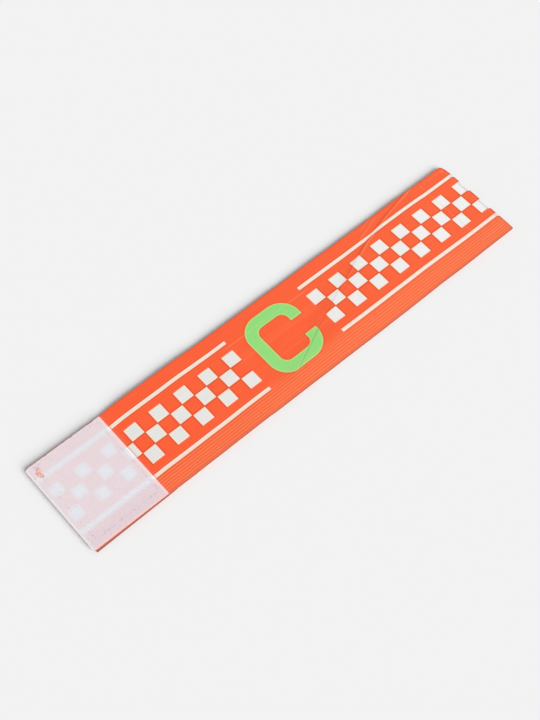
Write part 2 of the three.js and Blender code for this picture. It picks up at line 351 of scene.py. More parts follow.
CLOTH_SPAN = 400
FAR_FROM_CREASE = 12
TUCK_WAY = (0.4, 0.92)
TUCK_FADE = 0.2
BACK_EDGE_SHADE = 0.6
corners = np.empty(len(web_mesh.loops), dtype=int)
web_mesh.loops.foreach_get("vertex_index", corners)
share_across = np.concatenate(
    [np.broadcast_to(np.linspace(0, 1, x.shape[1]), x.shape).ravel() for x in (top_x, low_x)]
)
past_crease = np.clip((web_points[:, 0] - crease_x(share_across, -1)) / CREASE_SPREAD, 0, 1)
tucked = TUCK * past_crease * np.clip((1 - np.abs(2 * share_across - 1)) / TUCK_FADE, 0, 1)
flat_places = np.stack([web_points[:, 0] - WEB_LOW[0], (1 - share_across) * WEB_WIDTH], axis=1)
print_places = flat_places + np.outer(tucked, TUCK_WAY)
for map_name, places in (("cloth", flat_places), ("print", print_places)):
    cloth_map = web_mesh.uv_layers.new(name=map_name)
    cloth_map.data.foreach_set("uv", (places[corners] / CLOTH_SPAN).ravel())


def mark_points(name, marks):
    """Gives the webbing's points a value, which its materials read."""
    attribute = web_mesh.attributes.new(name, "FLOAT", "POINT")
    attribute.data.foreach_set("value", marks)


# Marks the side walls and cut ends for painted shade, weaker along the back edge.
edge_shade = np.zeros(len(web_points))
for index in (top_index, low_index):
    edge_shade[index[:, -1]] = BACK_EDGE_SHADE
    for line in (index[0], index[-1], index[:, 0]):
        edge_shade[line] = 1
mark_points("edge_shade_mark", edge_shade)
rib_lines = np.linspace(0, 1, RIBS + 1)
ridge_run = np.gradient(crease_x(rib_lines, 1), WEB_WIDTH / RIBS)
slant = 1 / np.sqrt(1 + np.interp(share_across, rib_lines, ridge_run) ** 2)
past_ridge = (web_points[:, 0] - crease_x(share_across, 1)) * slant
mark_points("past_ridge", np.clip(past_ridge, -FAR_FROM_CREASE, FAR_FROM_CREASE))

# The dyed print: a chequered ribbon between two pinstripes on either side of a plain captain's letter.
# All of it is measured in mm on the flat cloth, from the cut end under the hook tape and from the back edge.
PRINT_MIDDLE = (182.6, 33.3)
RIBBON_STARTS = 32.15
CELL = 10
RIBBON_HALF = 15
PINSTRIPE = {"offset": 22.0, "half": 1.3}
RIM_WIDTH = 1.4
NO_RIM_HERE = 9
LETTER = {"half_width": 21.35, "half_height": 24.5, "corner": 15, "stroke": 9.4, "mouth": 6.7}


def group_tree(name, inputs, outputs):
    """A node group with named sockets. Gives the tree and its input and output nodes."""
    tree = bpy.data.node_groups.new(name, "ShaderNodeTree")
    for socket, kind in inputs:
        tree.interface.new_socket(socket, in_out="INPUT", socket_type=kind)
    for socket, kind in outputs:
        tree.interface.new_socket(socket, in_out="OUTPUT", socket_type=kind)
    return tree, tree.nodes.new("NodeGroupInput"), tree.nodes.new("NodeGroupOutput")


def use_group(tree, group, **values):
    """Places a node group in a material and feeds its inputs. Gives the node."""
    node = tree.nodes.new("ShaderNodeGroup")
    node.node_tree = group
    for socket, value in values.items():
        feed(tree, node.inputs[socket], value)
    return node


def soft_step(tree, distance, softness):
    """0 to 1 as a distance in mm goes from below zero to above it, over the softness."""
    return calc(tree, "ADD", calc(tree, "DIVIDE", distance, softness), 0.5, clamp=True)


def build_print():
    tree, inside, outside = group_tree(
        "dyed_print",
        [("Cloth", "NodeSocketVector"), ("Softness", "NodeSocketFloat")],
        [("White", "NodeSocketFloat"), ("Green", "NodeSocketFloat"), ("Rim", "NodeSocketFloat")],
    )
    soft = inside.outputs["Softness"]
    split = tree.nodes.new("ShaderNodeSeparateXYZ")
    tree.links.new(inside.outputs["Cloth"], split.inputs[0])
    along = calc(tree, "SUBTRACT", split.outputs[0], PRINT_MIDDLE[0])
    down = calc(tree, "SUBTRACT", split.outputs[1], PRINT_MIDDLE[1])
    side, rise = calc(tree, "ABSOLUTE", along), calc(tree, "ABSOLUTE", down)

    outward = calc(tree, "SUBTRACT", side, RIBBON_STARTS)
    past_start = soft_step(tree, outward, soft)
    waves = []
    for place in (outward, calc(tree, "ADD", down, RIBBON_HALF)):
        wave = calc(tree, "SINE", calc(tree, "MULTIPLY", place, math.pi / CELL))
        waves.append(calc(tree, "MULTIPLY", wave, CELL / math.pi))
    signs = []
    for wave in waves:
        ratio = calc(tree, "DIVIDE", wave, soft)
        signs.append(calc(tree, "MINIMUM", calc(tree, "MAXIMUM", ratio, -1), 1))
    chequer = calc(tree, "MULTIPLY", *signs, clamp=True)
    in_ribbon = calc(tree, "GREATER_THAN", RIBBON_HALF, rise)
    chequer = calc(tree, "MULTIPLY", chequer, in_ribbon)

    off_line = calc(tree, "ABSOLUTE", calc(tree, "SUBTRACT", rise, PINSTRIPE["offset"]))
    in_line = calc(tree, "SUBTRACT", PINSTRIPE["half"], off_line)
    pinstripe = soft_step(tree, in_line, soft)
    white = calc(tree, "MULTIPLY", calc(tree, "MAXIMUM", chequer, pinstripe), past_start)
    tree.links.new(white, outside.inputs["White"])

    dyed_cell = calc(tree, "LESS_THAN", calc(tree, "MULTIPLY", *waves), 0)
    depths = []
    for wave, at_border in (
        (waves[0], calc(tree, "LESS_THAN", outward, CELL / 2)),
        (waves[1], calc(tree, "GREATER_THAN", rise, RIBBON_HALF - CELL / 2)),
    ):
        no_edge = calc(tree, "MULTIPLY", dyed_cell, at_border)
        depths.append(calc(tree, "MULTIPLY_ADD", no_edge, NO_RIM_HERE, calc(tree, "ABSOLUTE", wave)))
    inside_print = calc(tree, "MULTIPLY", in_ribbon, calc(tree, "GREATER_THAN", outward, 0))
    outside_print = calc(tree, "SUBTRACT", 1, inside_print)
    cell_depth = calc(tree, "MULTIPLY_ADD", outside_print, NO_RIM_HERE, calc(tree, "MINIMUM", *depths))
    before_start = calc(tree, "LESS_THAN", outward, 0)
    line_depth = calc(tree, "MULTIPLY_ADD", before_start, NO_RIM_HERE, calc(tree, "ABSOLUTE", in_line))

    bends = []
    for place, half in ((side, LETTER["half_width"]), (rise, LETTER["half_height"])):
        bends.append(calc(tree, "SUBTRACT", place, half - LETTER["corner"]))
    corner = [calc(tree, "POWER", calc(tree, "MAXIMUM", bend, 0), 2) for bend in bends]
    past = calc(tree, "SQRT", calc(tree, "ADD", *corner))
    flat = calc(tree, "MINIMUM", calc(tree, "MAXIMUM", *bends), 0)
    reach = calc(tree, "SUBTRACT", calc(tree, "ADD", past, flat), LETTER["corner"] - LETTER["stroke"] / 2)
    stroke = calc(tree, "SUBTRACT", LETTER["stroke"] / 2, calc(tree, "ABSOLUTE", reach))
    off_mouth = calc(tree, "SUBTRACT", rise, LETTER["mouth"])
    mouth = calc(tree, "MAXIMUM", off_mouth, calc(tree, "MULTIPLY", along, -1))
    letter_depth = calc(tree, "MINIMUM", stroke, mouth)
    tree.links.new(soft_step(tree, letter_depth, soft), outside.inputs["Green"])

    nearest = calc(tree, "MINIMUM", cell_depth, line_depth)
    nearest = calc(tree, "MINIMUM", nearest, calc(tree, "ABSOLUTE", letter_depth))
    rim = calc(tree, "SUBTRACT", 1, calc(tree, "DIVIDE", nearest, RIM_WIDTH), clamp=True)
    tree.links.new(rim, outside.inputs["Rim"])
    return tree


def mix(tree, share, first, second, blend="MIX"):
    """A Mix node for colours. Gives its result's socket."""
    node = tree.nodes.new("ShaderNodeMix")
    node.data_type = "RGBA"
    node.blend_type = blend
    feed(tree, node.inputs["Factor"], share)
    feed(tree, node.inputs["A"], first)
    feed(tree, node.inputs["B"], second)
    return node.outputs["Result"]


# The knit of the webbing: crosswise threads half a millimetre apart, set off from rib to rib, and a mask
# of the grooves between the ribs, where the webbing's colour gets a little painted shade.
THREAD_PITCH = 0.55
FUZZ = {"scale": 1.6, "detail": 4, "share": 0.5}
PATCHES = {"stretch": (0.03, 0.5, 1), "scale": 1.0, "detail": 3}
KNIT_BUMP = 0.12 * MM
RIB_PITCH = WEB_WIDTH / RIBS


def build_knit():
    tree, inside, outside = group_tree(
        "ribbed_knit",
        [("Cloth", "NodeSocketVector")],
        [("Height", "NodeSocketFloat"), ("Groove", "NodeSocketFloat"), ("Patches", "NodeSocketFloat")],
    )
    split = tree.nodes.new("ShaderNodeSeparateXYZ")
    tree.links.new(inside.outputs["Cloth"], split.inputs[0])
    rib = calc(tree, "DIVIDE", split.outputs[1], RIB_PITCH)
    shift = calc(tree, "MULTIPLY", calc(tree, "FLOOR", rib), math.pi)
    phase = calc(tree, "MULTIPLY_ADD", split.outputs[0], 2 * math.pi / THREAD_PITCH, shift)
    bow = calc(tree, "ABSOLUTE", calc(tree, "SINE", calc(tree, "MULTIPLY", rib, math.pi)))
    stitch = calc(tree, "MULTIPLY_ADD", calc(tree, "SINE", phase), 0.5, 0.5)
    fuzz = tree.nodes.new("ShaderNodeTexNoise")
    fuzz.inputs["Scale"].default_value = FUZZ["scale"]
    fuzz.inputs["Detail"].default_value = FUZZ["detail"]
    tree.links.new(inside.outputs["Cloth"], fuzz.inputs["Vector"])
    thread = calc(tree, "MULTIPLY", stitch, bow)
    height = calc(tree, "MULTIPLY_ADD", fuzz.outputs["Fac"], FUZZ["share"], thread)
    tree.links.new(height, outside.inputs["Height"])
    groove = calc(tree, "POWER", calc(tree, "SUBTRACT", 1, bow), 3)
    tree.links.new(groove, outside.inputs["Groove"])
    stretch = tree.nodes.new("ShaderNodeVectorMath")
    stretch.operation = "MULTIPLY"
    stretch.inputs[1].default_value = PATCHES["stretch"]
    tree.links.new(inside.outputs["Cloth"], stretch.inputs[0])
    patches = tree.nodes.new("ShaderNodeTexNoise")
    patches.inputs["Scale"].default_value = PATCHES["scale"]
    patches.inputs["Detail"].default_value = PATCHES["detail"]
    tree.links.new(stretch.outputs[0], patches.inputs["Vector"])
    tree.links.new(patches.outputs["Fac"], outside.inputs["Patches"])
    return tree


dyed_print, ribbed_knit = build_print(), build_knit()


def cloth_from_map(tree, name):
    """Flat cloth coordinates in mm, from one of the webbing's own maps."""
    source = tree.nodes.new("ShaderNodeUVMap")
    source.uv_map = name
    scaled = tree.nodes.new("ShaderNodeVectorMath")
    scaled.operation = "SCALE"
    scaled.inputs["Scale"].default_value = CLOTH_SPAN
    tree.links.new(source.outputs[0], scaled.inputs[0])
    return scaled.outputs[0]


def marks_of(tree, name):
    """A value that the piece's own points hold."""
    node = tree.nodes.new("ShaderNodeAttribute")
    node.attribute_name = name
    return node.outputs["Fac"]


def bump(tree, shader, height, distance, strength=1.0):
    node = tree.nodes.new("ShaderNodeBump")
    node.inputs["Distance"].default_value = distance
    node.inputs["Strength"].default_value = strength
    feed(tree, node.inputs["Height"], height)
    tree.links.new(node.outputs[0], shader.inputs["Normal"])


# The webbing's face. A pair of colours is the tone at the hook end and at the loop end, or of bare webbing
# and of webbing under the tape. A pair of numbers is where a share starts, in mm, and how far it grows.
FRONT_BAND = (52, 8)
LOOP_END = (60, 280)
ORANGE_AT_BACK = (srgb(252, 92, 50), srgb(252, 101, 60))
# The front band's orange is painted lighter, for the light that its ribs catch.
ORANGE_LIT_IN_FRONT = (srgb(250, 113, 67), srgb(250, 119, 75))
WHITE_TONES = (srgb(226, 227, 223), srgb(238, 238, 239))
GREEN_TONES = (srgb(143, 219, 122), srgb(156, 222, 134))
ORANGE_PATCH = {"share": 0.45, "tint": srgb(252, 116, 76)}
GREEN_PATCHES = 0.5
RIM_SHARE = {"orange": 0.9, "white": 1.6, "green": 0.8}
RIM_TINT = {"orange": srgb(196, 74, 40), "white": srgb(255, 224, 202), "green": srgb(198, 216, 124)}
# Painted shade in the rib grooves, and a painted highlight on the crests of the front band.
GROOVE_SHADE = {"all over": 0.3, "more in front": 0.2, "less at loop end": -0.14, "tint": srgb(186, 78, 56)}
SMOOTH_PRINT = {"white": 0.55, "white at loop end": 0.4, "green": 0.65}
CREST_HIGHLIGHT = {"reach": 0.35, "share": 0.35, "tint": srgb(255, 162, 118)}
LIGHT_CORDS = [(15.3, 0.2), (25.9, 0.07), (27.8, 0.07), (29.6, 0.08), (42.2, 0.06)]
CORD = {"half": 0.45, "near letter": (38, -6), "tint": srgb(255, 228, 165)}
# Painted shade and painted highlights along the crease and the two faint folds.
FAINT_FOLDS = [((270.5, 9.4), (296.4, 0.9), 0.5), ((276, 3.8), (294, -0.6), 0.3)]
FOLD_FADE = 5
FOLD_SHADE_AND_HIGHLIGHT = [
    {"centre": -0.9, "half": 1.4, "share": 0.5, "tint": srgb(236, 80, 40)},
    {"centre": 0.7, "half": 0.9, "share": 0.35, "tint": srgb(255, 172, 112)},
]
FOLD_ON_WHITE = 0.8
CREASE_AT_BACK = (28, -10)
CREASE_IN_FRONT = (61, -8)
CREASE_ON_GREEN = 0.8
CREASE_SHADE = {"centre": -0.2, "half": 0.7, "tint": srgb(232, 232, 225)}
CREASE_SHINE = {"centre": -1.3, "half": 0.6, "share": 0.16, "tint": srgb(255, 240, 205)}
# Painted shade along the front and back selvedges, on the side walls and cut ends, and beside the hook tape's
# edge.
FRONT_SHADE_LINE = (WEB_WIDTH - 1.4, 1.2)
FRONT_SHADE_TONES = (srgb(206, 106, 82), srgb(184, 108, 98))
BACK_SHADE_LINE = (1.1, -1.1)
BACK_SHADE_SHARE = 0.6
BACK_SHADE_TONES = (srgb(196, 84, 58), srgb(156, 86, 78))
CUT_SHADE_TONES = (srgb(172, 80, 60), srgb(164, 96, 88))
CUT_SHADE_ON_WHITE = srgb(190, 182, 178)
TAPE_LIP = 0.3
TAPE_SHADE = {"half": 1.9, "power": 1.5, "share": 0.75, "tint": srgb(204, 122, 124)}


def share_past(tree, place, start, growth):
    """0 to 1 as a place in mm goes past a start. A negative growth runs the other way."""
    return calc(tree, "DIVIDE", calc(tree, "SUBTRACT", place, start), growth, clamp=True)


def fold_line(tree, along, down, start, end):
    """Distance from a straight fold, in mm and positive to its front, and a share that fades at both ends."""
    run = Vector(end) - Vector(start)
    length, (run_x, run_y) = run.length, run.normalized()
    from_x, from_y = calc(tree, "SUBTRACT", along, start[0]), calc(tree, "SUBTRACT", down, start[1])
    passed = calc(tree, "MULTIPLY_ADD", from_x, run_x, calc(tree, "MULTIPLY", from_y, run_y))
    off = calc(tree, "MULTIPLY_ADD", from_x, -run_y, calc(tree, "MULTIPLY", from_y, run_x))
    nearest_end = calc(tree, "MINIMUM", passed, calc(tree, "SUBTRACT", length, passed))
    return off, calc(tree, "DIVIDE", nearest_end, FOLD_FADE, clamp=True)


def band_at(tree, distance, centre, half, share):
    """The share in the middle of a band, falling to 0 at both of its sides."""
    off = calc(tree, "ABSOLUTE", calc(tree, "SUBTRACT", distance, centre))
    inside = calc(tree, "SUBTRACT", 1, calc(tree, "DIVIDE", off, half), clamp=True)
    return calc(tree, "MULTIPLY", inside, share)


def dyed_colour(tree, mask, patches, to_front, to_loop_end):
    """The dyed yarn: orange, white and green, each with a rim of its own where two dyes meet. The orange is
    painted lighter in the front band, for the light that its ribs catch.
    """
    back, front = mix(tree, to_loop_end, *ORANGE_AT_BACK), mix(tree, to_loop_end, *ORANGE_LIT_IN_FRONT)
    orange = mix(tree, to_front, back, front)
    orange = mix(tree, calc(tree, "MULTIPLY", patches, ORANGE_PATCH["share"]), orange, ORANGE_PATCH["tint"])
    rim = mask.outputs["Rim"]
    narrow_rim = calc(tree, "MULTIPLY", calc(tree, "POWER", rim, 2), RIM_SHARE["orange"])
    orange = mix(tree, narrow_rim, orange, RIM_TINT["orange"])
    wide_rim = calc(tree, "MULTIPLY", rim, RIM_SHARE["white"], clamp=True)
    white = mix(tree, wide_rim, mix(tree, to_loop_end, *WHITE_TONES), RIM_TINT["white"])
    green = mix(tree, calc(tree, "MULTIPLY", patches, GREEN_PATCHES), *GREEN_TONES)
    green = mix(tree, calc(tree, "MULTIPLY", wide_rim, RIM_SHARE["green"]), green, RIM_TINT["green"])
    return mix(tree, mask.outputs["Green"], mix(tree, mask.outputs["White"], orange, white), green)


def ribbed_colour(tree, colour, mask, groove, to_front, to_loop_end):
    """Painted shade in the grooves, most in the front band and least on the print, and painted highlights on
    the crests of that band.
    """
    in_front = calc(
        tree, "MULTIPLY_ADD", to_loop_end, GROOVE_SHADE["less at loop end"], GROOVE_SHADE["more in front"]
    )
    shade = calc(tree, "MULTIPLY_ADD", to_front, in_front, GROOVE_SHADE["all over"])
    smooth_white = calc(
        tree, "MULTIPLY_ADD", to_loop_end, SMOOTH_PRINT["white at loop end"], SMOOTH_PRINT["white"]
    )
    in_print = calc(tree, "MULTIPLY", mask.outputs["White"], smooth_white)
    in_print = calc(tree, "MULTIPLY_ADD", mask.outputs["Green"], SMOOTH_PRINT["green"], in_print)
    off_print = calc(tree, "SUBTRACT", 1, in_print, clamp=True)
    share = calc(tree, "MULTIPLY", groove, calc(tree, "MULTIPLY", shade, off_print))
    colour = mix(tree, share, colour, GROOVE_SHADE["tint"], "MULTIPLY")
    crest_highlight = calc(tree, "MULTIPLY", calc(tree, "SUBTRACT", CREST_HIGHLIGHT["reach"], groove, clamp=True), to_front)
    return mix(tree, calc(tree, "MULTIPLY", crest_highlight, CREST_HIGHLIGHT["share"]), colour, CREST_HIGHLIGHT["tint"])


def corded_colour(tree, colour, along, down):
    """A few cords that shine through lighter beside the letter, each at its place from the back edge."""
    from_letter = calc(tree, "ABSOLUTE", calc(tree, "SUBTRACT", along, PRINT_MIDDLE[0]))
    near_letter = share_past(tree, from_letter, *CORD["near letter"])
    for place, strength in LIGHT_CORDS:
        line = band_at(tree, down, place, CORD["half"], strength)
        colour = mix(tree, calc(tree, "MULTIPLY", line, near_letter), colour, CORD["tint"])
    return colour


def folded_colour(tree, colour, mask, along, down):
    """The crease and two faint folds: painted shade on one side and a painted highlight on the other."""
    dyed = calc(tree, "SUBTRACT", 1, calc(tree, "MULTIPLY", mask.outputs["White"], FOLD_ON_WHITE))
    past_ridge = marks_of(tree, "past_ridge")
    at_back = calc(tree, "MULTIPLY", share_past(tree, down, *CREASE_AT_BACK), dyed)
    at_middle = calc(tree, "MULTIPLY", calc(tree, "SUBTRACT", 1, at_back), dyed)
    on_green = calc(tree, "MULTIPLY_ADD", mask.outputs["Green"], CREASE_ON_GREEN, 1 - CREASE_ON_GREEN)
    at_middle = calc(tree, "MULTIPLY", at_middle, on_green)
    at_middle = calc(tree, "MULTIPLY", at_middle, share_past(tree, down, *CREASE_IN_FRONT))
    folds = [(past_ridge, at_back)]
    for fold_start, fold_end, strength in FAINT_FOLDS:
        off, share = fold_line(tree, along, down, fold_start, fold_end)
        folds.append((off, calc(tree, "MULTIPLY", calc(tree, "MULTIPLY", share, strength), dyed)))
    for distance, share in folds:
        for line in FOLD_SHADE_AND_HIGHLIGHT:
            strength = calc(tree, "MULTIPLY", share, line["share"])
            band = band_at(tree, distance, line["centre"], line["half"], strength)
            colour = mix(tree, band, colour, line["tint"])
    shaded = band_at(tree, past_ridge, CREASE_SHADE["centre"], CREASE_SHADE["half"], at_middle)
    colour = mix(tree, shaded, colour, CREASE_SHADE["tint"], "MULTIPLY")
    strength = calc(tree, "MULTIPLY", at_middle, CREASE_SHINE["share"])
    shining = band_at(tree, past_ridge, CREASE_SHINE["centre"], CREASE_SHINE["half"], strength)
    return mix(tree, shining, colour, CREASE_SHINE["tint"])


def edge_shaded_colour(tree, colour, mask, along, down):
    """Painted shade along the selvedges, side walls and cut ends, and painted shade beside the hook tape's
    edge.
    """
    tape_end = HOOK_HIGH[0] - WEB_LOW[0]
    under_tape = calc(tree, "LESS_THAN", along, tape_end)
    front_shade = mix(tree, under_tape, *FRONT_SHADE_TONES)
    colour = mix(tree, share_past(tree, down, *FRONT_SHADE_LINE), colour, front_shade)
    beside_tape = band_at(tree, along, tape_end + TAPE_LIP, TAPE_SHADE["half"], 1)
    beside_tape = calc(tree, "POWER", beside_tape, TAPE_SHADE["power"])
    colour = mix(tree, calc(tree, "MULTIPLY", beside_tape, TAPE_SHADE["share"]), colour, TAPE_SHADE["tint"])
    back_shade_line = calc(tree, "MULTIPLY", share_past(tree, down, *BACK_SHADE_LINE), BACK_SHADE_SHARE)
    colour = mix(tree, back_shade_line, colour, mix(tree, under_tape, *BACK_SHADE_TONES))
    cut_shade_colour = mix(tree, mask.outputs["White"], mix(tree, under_tape, *CUT_SHADE_TONES), CUT_SHADE_ON_WHITE)
    return mix(tree, calc(tree, "POWER", marks_of(tree, "edge_shade_mark"), 3), colour, cut_shade_colour)


def webbing_face():
    material, tree, shader = new_material("webbing_face", 0.8, 0.1)
    cloth = cloth_from_map(tree, "cloth")
    mask = use_group(tree, dyed_print, Cloth=cloth_from_map(tree, "print"), Softness=0.5)
    knit = use_group(tree, ribbed_knit, Cloth=cloth)
    split = tree.nodes.new("ShaderNodeSeparateXYZ")
    tree.links.new(cloth, split.inputs[0])
    along, down = split.outputs[0], split.outputs[1]
    to_front, to_loop_end = share_past(tree, down, *FRONT_BAND), share_past(tree, along, *LOOP_END)
    colour = dyed_colour(tree, mask, knit.outputs["Patches"], to_front, to_loop_end)
    colour = ribbed_colour(tree, colour, mask, knit.outputs["Groove"], to_front, to_loop_end)
    colour = corded_colour(tree, colour, along, down)
    colour = folded_colour(tree, colour, mask, along, down)
    colour = edge_shaded_colour(tree, colour, mask, along, down)
    tree.links.new(colour, shader.inputs["Base Color"])
    bump(tree, shader, knit.outputs["Height"], KNIT_BUMP)
    return material


def webbing_back():
    material, tree, shader = new_material("webbing_back", 0.85, 0.12)
    cloth = cloth_from_map(tree, "cloth")
    mask = use_group(tree, dyed_print, Cloth=cloth_from_map(tree, "print"), Softness=1.2)
    knit = use_group(tree, ribbed_knit, Cloth=cloth)
    dyed = mix(tree, knit.outputs["Patches"], srgb(246, 172, 146), srgb(248, 186, 162))
    pale = calc(tree, "MAXIMUM", mask.outputs["White"], mask.outputs["Green"])
    colour = mix(tree, calc(tree, "MULTIPLY", pale, 0.7), dyed, srgb(240, 232, 224))
    # Painted shade in the underside's rib grooves.
    underside_groove_shade = calc(tree, "MULTIPLY", knit.outputs["Groove"], 0.15)
    colour = mix(tree, underside_groove_shade, colour, srgb(150, 100, 85), "MULTIPLY")
    tree.links.new(colour, shader.inputs["Base Color"])
    bump(tree, shader, knit.outputs["Height"], KNIT_BUMP)
    return material


web_mesh.materials.append(webbing_face())
web_mesh.materials.append(webbing_back())
slots = np.zeros(len(web_mesh.polygons), dtype=int)
slots[top_count : top_count + low_count] = 1
web_mesh.polygons.foreach_set("material_index", slots)
bpy.ops.object.select_all(action="DESELECT")
webbing.select_set(True)
bpy.context.view_layer.objects.active = webbing
bpy.ops.object.shade_smooth_by_angle(angle=math.radians(65))
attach(webbing, "root")
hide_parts("elastic_band")


# The hook tape: a woven nylon tape, 57 mm by 69 mm, heat-cut with a melted lip and round corners at the cut
# end, and sewn on top of the hook end. It is milky, so the print shows through it as pink and bluish white.
TAPE_THICKNESS = 0.5
TAPE_CORNERS = {"low": 1.8, "high": 0.3}
TAPE_GRID = (60, 70)
TAPE_BLUR = 2.4
TAPE_RIM = {"inner end": 1.1, "front": 0.7, "cut end": 0.7}
SPECKLE = {"scale": 1.1, "share": 0.2, "from": 0.62, "tint": srgb(205, 170, 180)}
BLOTCHES = {"scale": 0.22, "from": 0.42, "growth": 2.4, "share": 0.6, "tint": srgb(226, 214, 210)}
PINK_TONES = (srgb(222, 205, 211), srgb(235, 221, 225))
PALE_TONES = (srgb(222, 225, 230), srgb(228, 230, 235))
DEEP_FRONT = {"from": 52, "over": 12, "share": 0.4, "tint": srgb(219, 197, 205)}
PALE_LIP = {"reach": 0.2, "over": 0.9, "tint": srgb(228, 222, 224)}
# The tape's edges: paled as the melted lip, and painted as a highlight where they catch the light.
SEALED_WARM_HIGHLIGHT = srgb(255, 204, 190)
SEALED_PALE_HIGHLIGHT = srgb(244, 240, 238)
SEALED_FRONT_HIGHLIGHT = srgb(253, 192, 180)
SEALED_END_HIGHLIGHT = srgb(226, 223, 227)
HOOK_CENTRE = (HOOK_LOW + HOOK_HIGH) / 2
HOOK_SIZE = HOOK_HIGH - HOOK_LOW


def cloth_from_place(tree):
    """Flat cloth coordinates in mm for what lies flat over the webbing, from its place in the frame."""
    source = tree.nodes.new("ShaderNodeTexCoord")
    scaled = tree.nodes.new("ShaderNodeVectorMath")
    scaled.operation = "MULTIPLY_ADD"
    scaled.inputs[1].default_value = (1 / MM, -1 / MM, 1 / MM)
    scaled.inputs[2].default_value = (-WEB_LOW[0], WEB_HIGH[1], 0)
    tree.links.new(source.outputs["Object"], scaled.inputs[0])
    return scaled.outputs[0]


def cloud(tree, cloth, scale):
    """Soft noise over the flat cloth, with features of one mm over the scale."""
    noise = tree.nodes.new("ShaderNodeTexNoise")
    noise.inputs["Scale"].default_value = scale
    noise.inputs["Detail"].default_value = 2
    tree.links.new(cloth, noise.inputs["Vector"])
    return noise.outputs["Fac"]


def milky_colour(tree, speckle_scale, speckle_share):
    """What shows through the milky nylon: the print, blurred and paled, with a fine speckle."""
    cloth = cloth_from_place(tree)
    mask = use_group(tree, dyed_print, Cloth=cloth, Softness=TAPE_BLUR)
    speckle, blotches = cloud(tree, cloth, speckle_scale), cloud(tree, cloth, BLOTCHES["scale"])
    yellowed = calc(tree, "SUBTRACT", blotches, BLOTCHES["from"])
    yellowed = calc(tree, "MULTIPLY", yellowed, BLOTCHES["growth"], clamp=True)
    pink = mix(tree, speckle, *PINK_TONES)
    pink = mix(tree, calc(tree, "MULTIPLY", yellowed, BLOTCHES["share"]), pink, BLOTCHES["tint"])
    split = tree.nodes.new("ShaderNodeSeparateXYZ")
    tree.links.new(cloth, split.inputs[0])
    at_front = share_past(tree, split.outputs[1], DEEP_FRONT["from"], DEEP_FRONT["over"])
    pink = mix(tree, calc(tree, "MULTIPLY", at_front, DEEP_FRONT["share"]), pink, DEEP_FRONT["tint"])
    show = calc(tree, "POWER", mask.outputs["White"], 0.6)
    colour = mix(tree, show, pink, mix(tree, speckle, *PALE_TONES))
    spots = calc(tree, "GREATER_THAN", speckle, SPECKLE["from"])
    colour = mix(tree, calc(tree, "MULTIPLY", spots, speckle_share), colour, SPECKLE["tint"])
    past_cut = calc(tree, "DIVIDE", split.outputs[0], PALE_LIP["over"])
    past_cut = calc(tree, "SUBTRACT", PALE_LIP["reach"], past_cut, clamp=True)
    return mix(tree, past_cut, colour, PALE_LIP["tint"])


def sealed_and_highlit_edges(tree, colour):
    """Pales the heat-cut edges of the hook tape, their melted lip with a painted highlight where they catch the
    light, and warms them where the orange webbing shines through.
    """
    cloth = cloth_from_place(tree)
    mask = use_group(tree, dyed_print, Cloth=cloth, Softness=TAPE_BLUR / 2)
    split = tree.nodes.new("ShaderNodeSeparateXYZ")
    tree.links.new(cloth, split.inputs[0])
    along, down = split.outputs[0], split.outputs[1]
    cut_end, inner_end = HOOK_LOW[0] - WEB_LOW[0], HOOK_HIGH[0] - WEB_LOW[0]
    front_edge = WEB_HIGH[1] - HOOK_LOW[1]
    inner_highlight = mix(tree, mask.outputs["White"], SEALED_WARM_HIGHLIGHT, SEALED_PALE_HIGHLIGHT)
    for distance, width, tint in (
        (calc(tree, "SUBTRACT", inner_end, along), TAPE_RIM["inner end"], inner_highlight),
        (calc(tree, "SUBTRACT", front_edge, down), TAPE_RIM["front"], SEALED_FRONT_HIGHLIGHT),
        (calc(tree, "SUBTRACT", along, cut_end), TAPE_RIM["cut end"], SEALED_END_HIGHLIGHT),
    ):
        share = calc(tree, "SUBTRACT", 1, calc(tree, "DIVIDE", distance, width), clamp=True)
        colour = mix(tree, calc(tree, "POWER", share, 0.6), colour, tint)
    return colour


def apply_modifiers(piece):
    bpy.context.view_layer.objects.active = piece
    for modifier in list(piece.modifiers):
        bpy.ops.object.modifier_apply(modifier=modifier.name)


def points_of(piece):
    """A piece's points in mm, as an array."""
    points = np.empty(len(piece.data.vertices) * 3)
    piece.data.vertices.foreach_get("co", points)
    return points.reshape(-1, 3) / MM


def set_points(piece, points):
    piece.data.vertices.foreach_set("co", (points * MM).ravel())
    piece.data.update()


